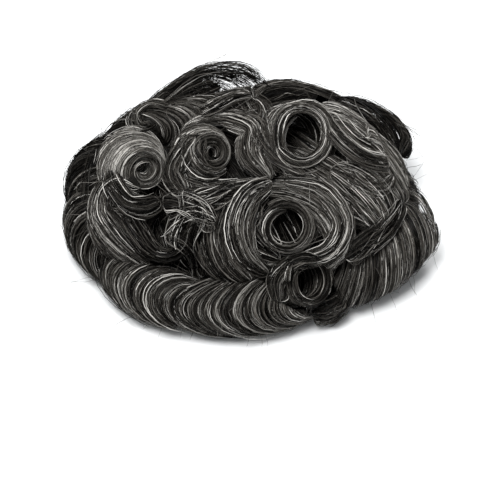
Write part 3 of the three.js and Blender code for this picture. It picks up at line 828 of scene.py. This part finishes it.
def strand_patches(groups, sides=2):
    """Strands as flat ribbons (2 sides) or tubes, each with a cell of the UV map's right half."""
    total = sum(len(lines) for lines, _, _ in groups)
    columns = max(1, math.ceil(math.sqrt(total * 2)))
    sheet = (columns, math.ceil(total / columns))
    firsts = np.cumsum([0] + [len(lines) for lines, _, _ in groups])
    return [ribbons(group, sides, first, sheet) for group, first in zip(groups, firsts)]


def ribbons(group, sides, first_cell, sheet):
    lines, radius, tone = group
    n, m, _ = lines.shape
    along = unit(np.gradient(lines, axis=1))
    first = np.empty_like(along)
    first[:, 0] = unit(np.cross(along[:, 0], rng.normal(size=(n, 3))))
    for i in range(1, m):
        back = (first[:, i - 1] * along[:, i]).sum(-1, keepdims=True)
        first[:, i] = unit(first[:, i - 1] - along[:, i] * back)
    second = np.cross(along, first)
    angle = np.arange(sides) * 2 * np.pi / sides
    round_it = first[:, :, None] * np.cos(angle)[:, None] + second[:, :, None] * np.sin(angle)[:, None]
    points = lines[:, :, None] + radius[:, :, None, None] * round_it
    faces = 1 if sides == 2 else sides
    base = (np.arange(n) * m * sides)[:, None, None]
    i = (np.arange(m - 1) * sides)[None, :, None]
    k = np.arange(faces)[None, None, :]
    k2 = (k + 1) % sides
    quads = np.stack([base + i + k, base + i + k2, base + i + sides + k2, base + i + sides + k], -1)
    cell = np.array([0.5 / sheet[0], 1 / sheet[1]])
    number = first_cell + np.arange(n)
    corner = np.stack([0.5 + (number % sheet[0]) * cell[0], (number // sheet[0]) * cell[1]], -1)
    uv = np.zeros((n, m - 1, faces, 4, 2))
    for c, (du, dv) in enumerate(((0, 0), (1, 0), (1, 1), (0, 1))):
        u = (np.arange(faces) + du)[None, None, :] / faces * 0.8 + 0.1
        v = (np.arange(m - 1) + dv)[None, :, None] / (m - 1) * 0.9 + 0.05
        uv[..., c, 0] = corner[:, 0, None, None] + u * cell[0]
        uv[..., c, 1] = corner[:, 1, None, None] + v * cell[1]
    length = np.linalg.norm(np.diff(lines, axis=1), axis=-1).cumsum(1)
    length = np.concatenate([np.zeros((n, 1)), length], 1)
    comb = np.stack([rng.uniform(0, 90, n)[:, None] + 0 * length, length / 10, 0 * length], -1)
    comb = np.repeat(comb[:, :, None], sides, axis=2)
    return dict(
        points=points.reshape(-1, 3),
        quads=quads.reshape(-1, 4),
        uv=uv.reshape(-1, 4, 2),
        tone=np.repeat(tone.ravel(), sides),
        comb=comb.reshape(-1, 3),
    )


def grid_patch(points, tone, comb, keep=None):
    """A grid of points (rows, columns, 3), closed round its rows, on the UV map's left half."""
    rows, columns, _ = points.shape
    j = np.arange(columns)
    i = np.arange(rows - 1)[:, None]
    a = i * columns + j
    b = i * columns + (j + 1) % columns
    quads = np.stack([a, b, b + columns, a + columns], -1)
    u = np.stack([j, j + 1, j + 1, j]) / columns
    v = np.stack([i + 0 * j, i + 0 * j, i + 1 + 0 * j, i + 1 + 0 * j]) / (rows - 1)
    uv = np.stack([np.broadcast_to(u[:, None], v.shape) * 0.46 + 0.02, v * 0.96 + 0.02], -1)
    uv = np.moveaxis(uv, 0, 2)
    if keep is not None:
        shown = keep.ravel()[quads].all(-1)
        quads, uv = quads[shown], uv[shown]
    return dict(
        points=points.reshape(-1, 3),
        quads=quads.reshape(-1, 4),
        uv=uv.reshape(-1, 4, 2),
        tone=np.full(rows * columns, tone),
        comb=comb.reshape(-1, 3),
    )


def body_patch(lock, earlier):
    """The lock's dark body, a little inside its strands: dark hair beneath them and painted shade in the
    gaps between them.
    """
    swept = "path" in lock
    rows, columns = (26, 22) if swept else (46, 20)
    beta = np.linspace(0, 2 * np.pi, columns, endpoint=False)
    t = np.linspace(0, lock.get("body", 1), rows)[:, None] + 0 * beta
    if swept:
        slim = np.sqrt(np.minimum(t, lock.get("body", 1) - t).clip(0) * 8).clip(0.05, 1)
        s = np.cos(beta) * 0.92 * slim
        n = np.sign(np.sin(beta)) * 0.75 * slim
    else:
        s = np.sign(np.cos(beta)) * np.abs(np.cos(beta)) ** 0.6 * 0.9 + 0 * t
        n = np.sign(np.sin(beta)) * np.abs(np.sin(beta)) ** 0.6 * 0.7 + 0 * t

    def place(s, n, t):
        return on_lock(lock, s, t, (n, 0 * t))

    grid = [s, n, t]
    points = place(*grid)
    keep = free(points, earlier, BODY_SINK)
    half_mm = half_width(lock)
    length = np.linalg.norm(np.diff(points, axis=0), axis=-1).mean(1).cumsum()
    length = np.concatenate([[0], length])[:, None] + 0 * t
    comb = np.stack([flow_back(lock, s, t) * half_mm / 0.9, length / 25, n], -1)
    # A point inside another's room moves to the border towards a free neighbour.
    moved = keep.copy()
    for axis, step in ((0, 1), (0, -1), (1, 1), (1, -1)):
        near = [np.roll(g, step, axis) for g in grid]
        border = ~moved & np.roll(keep, step, axis)
        if axis == 0:
            border[0 if step == 1 else -1] = False
        inside, outside = np.zeros(border.sum()), np.ones(border.sum())
        for _ in range(6):
            middle = (inside + outside) / 2
            tried = place(*(mix(g[border], f[border], middle) for g, f in zip(grid, near)))
            ok = free(tried, earlier, BODY_SINK)
            outside, inside = np.where(ok, middle, outside), np.where(ok, inside, middle)
        points[border] = place(*(mix(g[border], f[border], outside) for g, f in zip(grid, near)))
        moved |= border
    # The body is darker than the strands: painted shade in the gaps between them.
    return grid_patch(points, 0.2 + lock["light"], comb, moved)


def flow_back(lock, s, t):
    """The s at the lock's start of the strand that passes s at t."""
    if "gather" in lock:
        return 1 - (1 - s) * np.exp(np.minimum(lock["gather"] * t, 2))
    return s - flow(lock, 0, 0, t)


def hair_piece(name, patches, material):
    """One mesh from the patches, riding on the root."""
    sizes = np.cumsum([0] + [len(p["points"]) for p in patches])
    points = np.concatenate([p["points"] for p in patches]) + CENTER
    quads = np.concatenate([p["quads"] + first for p, first in zip(patches, sizes)])
    mesh = bpy.data.meshes.new(name)
    mesh.vertices.add(len(points))
    mesh.vertices.foreach_set("co", (points * MM).astype(np.float32).ravel())
    mesh.loops.add(quads.size)
    mesh.loops.foreach_set("vertex_index", quads.astype(np.int32).ravel())
    mesh.polygons.add(len(quads))
    mesh.polygons.foreach_set("loop_start", np.arange(0, quads.size, 4, dtype=np.int32))
    mesh.update(calc_edges=True)
    mesh.polygons.foreach_set("use_smooth", np.ones(len(quads), bool))
    layer = mesh.uv_layers.new(name="OFBake")
    layer.data.foreach_set("uv", np.concatenate([p["uv"] for p in patches]).astype(np.float32).ravel())
    tone = mesh.attributes.new("tone", "FLOAT", "POINT")
    tone.data.foreach_set("value", np.concatenate([p["tone"] for p in patches]).astype(np.float32))
    comb = mesh.attributes.new("comb", "FLOAT_VECTOR", "POINT")
    comb.data.foreach_set("vector", np.concatenate([p["comb"] for p in patches]).astype(np.float32).ravel())
    mesh.materials.append(material)
    piece = bpy.data.objects.new(name, mesh)
    bpy.context.scene.collection.objects.link(piece)
    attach(piece, "root")
    return piece


def combed_way(x, y):
    """Direction of the combing at a place on the dome, in shares of its half sizes."""
    way = 0.25 * unit(np.stack([x + 0.02, y - 0.05], -1))
    for (px, py), (dx, dy) in COMBED:
        weight = 1 / (0.03 + (x - px) ** 2 + (y - py) ** 2)
        way = way + weight[..., None] * unit(np.array([dx, dy])) * 0.1
    return unit(way)


def bed_strands(count, points):
    """Strands combed over the dome."""
    clumps = count // 8
    which = rng.integers(0, clumps, count)
    reach, angle = np.sqrt(rng.random(clumps)) * 0.97, rng.uniform(0, 2 * np.pi, clumps)
    x = (reach * np.cos(angle))[which] + rng.normal(size=count) * 0.009
    y = (reach * np.sin(angle))[which] + rng.normal(size=count) * 0.012
    lines = []
    step = 5.0
    bend = (smooth_noise(clumps, points)[which] + smooth_noise(count, points) * 0.3) * 0.35
    for i in range(points):
        lines.append(np.stack([x, y], -1))
        way = combed_way(x, y)
        c, s = np.cos(bend[:, i]), np.sin(bend[:, i])
        x = x + (way[:, 0] * c - way[:, 1] * s) * step / HALF[0]
        y = y + (way[:, 0] * s + way[:, 1] * c) * step / HALF[1]
    flat = np.stack(lines, 1)
    reach = np.linalg.norm(flat, axis=-1)
    ok = reach < 0.995
    flat = flat * np.minimum(1, 0.995 / reach)[..., None]
    lift = 0.4 + np.abs(smooth_noise(clumps, points)[which]) * 1.2 + rng.exponential(0.3, count)[:, None]
    px, py = flat[..., 0] * HALF[0], flat[..., 1] * HALF[1]
    lines = np.stack([px, py, dome_z(px, py)], -1)
    lines = lines + unit(lines / HALF / HALF) * lift[..., None]
    tone = tones(dict(light=0, grey_and_glint=0.12), np.zeros(clumps), which)
    return trim(lines, ok, tone)


def dome_grid(half, rows, columns):
    reach = np.sin(np.linspace(0, np.pi / 2, rows))[:, None]
    angle = np.linspace(0, 2 * np.pi, columns, endpoint=False)
    x, y = half[0] * reach * np.cos(angle), half[1] * reach * np.sin(angle)
    return np.stack([x, y, dome_z(x, y, half)], -1)


def bed_piece(material):
    outer = dome_grid(HALF - 0.4, 30, 90)
    inner = dome_grid(BASE + GAP, 30, 90)[::-1]
    points = np.concatenate([outer, inner])
    way = combed_way(points[..., 0] / HALF[0], points[..., 1] / HALF[1])
    across = points[..., 0] * -way[..., 1] + points[..., 1] * way[..., 0]
    along = points[..., 0] * way[..., 0] + points[..., 1] * way[..., 1]
    comb = np.stack([across / 1.2, along / 30, 0 * along], -1)
    # The dark bed under the strands: dark hair, and painted shade in the gaps between them.
    body = grid_patch(points, 0.15, comb)
    strands = strand_patches(bed_strands(BED_STRANDS, 12))
    piece = hair_piece("combed_bed", [body, *strands], material)
    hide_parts("hair_bed")


def base_piece():
    outer = dome_grid(BASE, 30, 96)
    inner = dome_grid(BASE - BASE_WALL, 30, 96)[::-1]
    points = np.concatenate([outer, inner])
    comb = points / 2.0
    piece = hair_piece("cap_lace", [grid_patch(points, 0.5, comb)], lace_material())
    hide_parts("base_cap")


def add(tree, kind, **values):
    node = tree.nodes.new(kind)
    for key, value in values.items():
        setattr(node, key, value)
    return node


def new_material(name, roughness):
    """A material, its node tree and its shader."""
    material = bpy.data.materials.new(name)
    material.use_nodes = True
    shader = material.node_tree.nodes["Principled BSDF"]
    shader.inputs["Roughness"].default_value = roughness
    return material, material.node_tree, shader


def color_and_relief(tree, shader, ramp, height, strength, distance):
    """Colours the shader from the ramp and gives it a relief from the height, distance in m."""
    tree.links.new(ramp.outputs["Color"], shader.inputs["Base Color"])
    bump = add(tree, "ShaderNodeBump")
    bump.inputs["Strength"].default_value = strength
    bump.inputs["Distance"].default_value = distance
    tree.links.new(height, bump.inputs["Height"])
    tree.links.new(bump.outputs["Normal"], shader.inputs["Normal"])


def hair_material():
    """Dark hair with grey strands, which are grey hairs and painted glints; the comb attribute runs across
    and along the strands.
    """
    material, tree, shader = new_material("hair", 0.36)
    tone = add(tree, "ShaderNodeAttribute", attribute_name="tone")
    comb = add(tree, "ShaderNodeAttribute", attribute_name="comb")
    streaks = add(tree, "ShaderNodeTexNoise")
    streaks.inputs["Scale"].default_value = 1
    streaks.inputs["Detail"].default_value = 3
    tree.links.new(comb.outputs["Vector"], streaks.inputs["Vector"])
    shift = add(tree, "ShaderNodeMath", operation="MULTIPLY_ADD")
    shift.inputs[1].default_value = STREAKS
    tree.links.new(streaks.outputs["Fac"], shift.inputs[0])
    offset = add(tree, "ShaderNodeMath", operation="SUBTRACT")
    offset.inputs[1].default_value = STREAKS / 2
    tree.links.new(tone.outputs["Fac"], offset.inputs[0])
    tree.links.new(offset.outputs[0], shift.inputs[2])
    ramp = add(tree, "ShaderNodeValToRGB")
    elements = ramp.color_ramp.elements
    for k, (place, color) in enumerate(HAIR_COLORS):
        element = elements[k] if k < 2 else elements.new(place)
        element.position, element.color = place, (*color, 1)
    tree.links.new(shift.outputs[0], ramp.inputs["Fac"])
    color_and_relief(tree, shader, ramp, streaks.outputs["Fac"], 0.7, 0.0005)
    # The gloss is kept low because the hair's glints are painted, as light strands.
    shader.inputs["Specular IOR Level"].default_value = 0.06
    return material


def lace_material():
    """Fine tan lace with a woven mesh."""
    material, tree, shader = new_material("lace", 0.75)
    comb = add(tree, "ShaderNodeAttribute", attribute_name="comb")
    weave = []
    for direction in ("X", "Y"):
        wave = add(tree, "ShaderNodeTexWave", bands_direction=direction)
        wave.inputs["Scale"].default_value = 0.7
        wave.inputs["Distortion"].default_value = 0.3
        tree.links.new(comb.outputs["Vector"], wave.inputs["Vector"])
        weave.append(wave)
    both = add(tree, "ShaderNodeMath", operation="MAXIMUM")
    for k, wave in enumerate(weave):
        tree.links.new(wave.outputs["Fac"], both.inputs[k])
    ramp = add(tree, "ShaderNodeValToRGB")
    for element, color in zip(ramp.color_ramp.elements, LACE_COLORS):
        element.color = color
    tree.links.new(both.outputs[0], ramp.inputs["Fac"])
    color_and_relief(tree, shader, ramp, both.outputs[0], 0.6, 0.0004)
    return material


def stage():
    """The pale floor, the soft lights and the camera at the photograph's angle."""
    bpy.ops.mesh.primitive_plane_add(size=6)
    floor = bpy.context.object
    floor.name = "floor"
    material, _, shader = new_material("floor", 0.9)
    shader.inputs["Base Color"].default_value = (0.93, 0.94, 0.945, 1)
    floor.data.materials.append(material)
    world = bpy.data.worlds.new("studio")
    bpy.context.scene.world = world
    world.use_nodes = True
    background = world.node_tree.nodes["Background"]
    background.inputs["Color"].default_value = (0.97, 0.985, 1, 1)
    background.inputs["Strength"].default_value = 0.35
    for name, place, power, size in LAMPS:
        light = bpy.data.lights.new(name, "AREA")
        light.energy, light.size = power, size
        lamp = bpy.data.objects.new(name, light)
        lamp.location = place
        lamp.rotation_euler = (Vector((0, 0, 0.05)) - Vector(place)).to_track_quat("-Z", "Y").to_euler()
        bpy.context.scene.collection.objects.link(lamp)
    camera = bpy.data.cameras.new("camera")
    camera.sensor_width = 36
    camera.lens = CAMERA_LENS
    view = bpy.data.objects.new("camera", camera)
    rise = math.radians(CAMERA_RISE)
    back = Vector((0, -math.cos(rise), math.sin(rise)))
    view.location = Vector(CAMERA_AIM) + back * CAMERA_DISTANCE
    view.rotation_euler = (-back).to_track_quat("-Z", "Y").to_euler()
    bpy.context.scene.collection.objects.link(view)
    bpy.context.scene.camera = view
    bpy.context.scene.view_settings.view_transform = "Standard"


low_corner, high_corner = (np.array(corner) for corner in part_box("base_cap"))
CENTER = np.array([*((low_corner + high_corner)[:2] / 2 / MM), 0])
hair = hair_material()
base_piece()
bed_piece(hair)
earlier = []
for lock in LOCKS:
    combed = lock_strands(lock, earlier, int(lock["strands"] * COMBED_TIMES), False)
    loose = lock_strands(lock, earlier, int(lock["strands"] * LOOSE_TIMES), True)
    strands = strand_patches(combed + loose, lock.get("sides", 2))
    piece = hair_piece("hair_" + lock["name"], [body_patch(lock, earlier), *strands], hair)
    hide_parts(lock["name"])
    earlier.append(lock)
for lock in BUNCHES:
    lock["open"] = True
    combed = lock_strands(lock, [], int(lock["strands"] * BUNCH_TIMES), False)
    loose = lock_strands(lock, [], int(lock["strands"] * LOOSE_TIMES), True)
    hair_piece(lock["name"], strand_patches(combed + loose, lock.get("sides", 2)), hair)
hair_piece("flyaways", strand_patches(flyaways(FLYAWAYS, 12), 3), hair)
stage()
